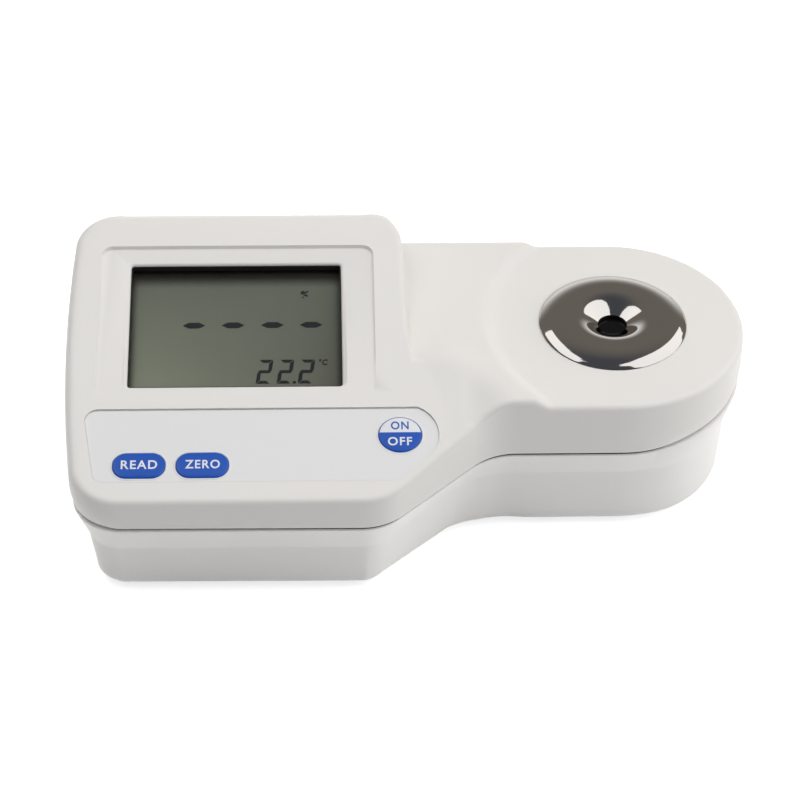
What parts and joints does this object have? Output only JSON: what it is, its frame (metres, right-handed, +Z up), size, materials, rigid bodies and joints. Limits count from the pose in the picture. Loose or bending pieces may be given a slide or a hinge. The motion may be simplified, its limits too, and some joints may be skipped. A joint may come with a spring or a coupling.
{
  "type": "digital refractometer",
  "caption": "Benchtop digital refractometer with a sloping display panel, push keys, a polished sample ring over a prism, and a round battery cover underneath.",
  "frame": {"origin": "on the bench, under the middle of the casing's length and depth", "axes": "+X along the casing towards the round head, +Y towards the back, +Z up"},
  "size_m": [0.1932, 0.102, 0.0652],
  "materials": {
    "casing": "fine satin texture, warm white",
    "casing_lower": "fine satin texture, warm white",
    "gasket_rubber": "matt black",
    "foot_rubber": "matt black",
    "screw_steel": "zinc plated",
    "window_clear": "clear, glossy",
    "black_plastic": "moulded black",
    "display_grey": "grey-green liquid crystal display with dark segments",
    "strip_rubber": "layered conductive rubber",
    "keypad_film": "printed film, pale grey",
    "key_blue": "blue print with white lettering",
    "key_power": "upper half white, lower half blue, ON and OFF lettering",
    "switch_plastic": "black switch body",
    "board_green": "green solder mask",
    "chip_black": "black moulded package",
    "socket_plastic": "ivory plastic",
    "ring_steel": "polished stainless steel",
    "seal_rubber": "black, slightly glossy",
    "prism_glass": "polished flint glass, dark over the black block",
    "lamp_lens": "clear epoxy lamp",
    "lens_glass": "clear polished glass",
    "battery_case": "plain dark grey sleeve",
    "snap_plastic": "black moulded cap",
    "lead_red": "red insulation",
    "lead_black": "black insulation",
    "cover_plastic": "warm white with a coin slot",
    "cable_grey": "grey flat cable"
  },
  "bodies": {
    "casing": {"top_housing": "casing", "bottom_housing": "casing_lower", "housing_gasket": "gasket_rubber", "foot_front_left": "foot_rubber", "foot_back_left": "foot_rubber", "foot_neck": "foot_rubber", "foot_head": "foot_rubber", "housing_screw_1": "screw_steel", "housing_screw_2": "screw_steel", "housing_screw_3": "screw_steel", "housing_screw_4": "screw_steel", "housing_screw_5": "screw_steel", "housing_screw_6": "screw_steel", "display_window": "window_clear", "lcd_holder": "black_plastic", "lcd_panel": "display_grey", "zebra_strip_lower": "strip_rubber", "zebra_strip_upper": "strip_rubber", "keypad_overlay": "keypad_film", "read_switch": "switch_plastic", "zero_switch": "switch_plastic", "power_switch": "switch_plastic", "main_board": "board_green", "board_screw_1": "screw_steel", "board_screw_2": "screw_steel", "board_screw_3": "screw_steel", "board_screw_4": "screw_steel", "microcontroller": "chip_black", "sensor_connector": "socket_plastic", "sample_ring": "ring_steel", "prism_seal": "seal_rubber", "prism": "prism_glass", "optical_block": "black_plastic", "ring_screw_1": "screw_steel", "ring_screw_2": "screw_steel", "ring_screw_3": "screw_steel", "ring_screw_4": "screw_steel", "led_board": "board_green", "sensor_board": "board_green", "led_emitter": "lamp_lens", "collimating_lens": "lens_glass", "image_sensor": "chip_black", "temperature_sensor": "chip_black", "battery_cup": "casing_lower", "battery": "battery_case", "battery_snap": "snap_plastic", "lead_positive": "lead_red", "lead_negative": "lead_black", "sensor_cable": "cable_grey"},
    "read_button": {"read_key": "key_blue"},
    "zero_button": {"zero_key": "key_blue"},
    "power_button": {"power_key": "key_power"},
    "cover": {"battery_cover": "cover_plastic", "cover_seal": "gasket_rubber"}
  },
  "joints": [
    {"name": "read_press", "type": "slide", "parent": "casing", "child": "read_button", "axis": [0, 0.2952, -0.9554], "range_m": [0, 0.0005], "stiffness_N_per_m": 1500},
    {"name": "zero_press", "type": "slide", "parent": "casing", "child": "zero_button", "axis": [0, 0.2952, -0.9554], "range_m": [0, 0.0005], "stiffness_N_per_m": 1500},
    {"name": "power_press", "type": "slide", "parent": "casing", "child": "power_button", "axis": [0, 0.2952, -0.9554], "range_m": [0, 0.0005], "stiffness_N_per_m": 1500},
    {"name": "cover_turn", "type": "hinge", "parent": "casing", "child": "cover", "pos_m": [-0.045, 0, 0.0023], "axis": [0, 0, 1], "range_deg": [0, 35]}
  ]
}
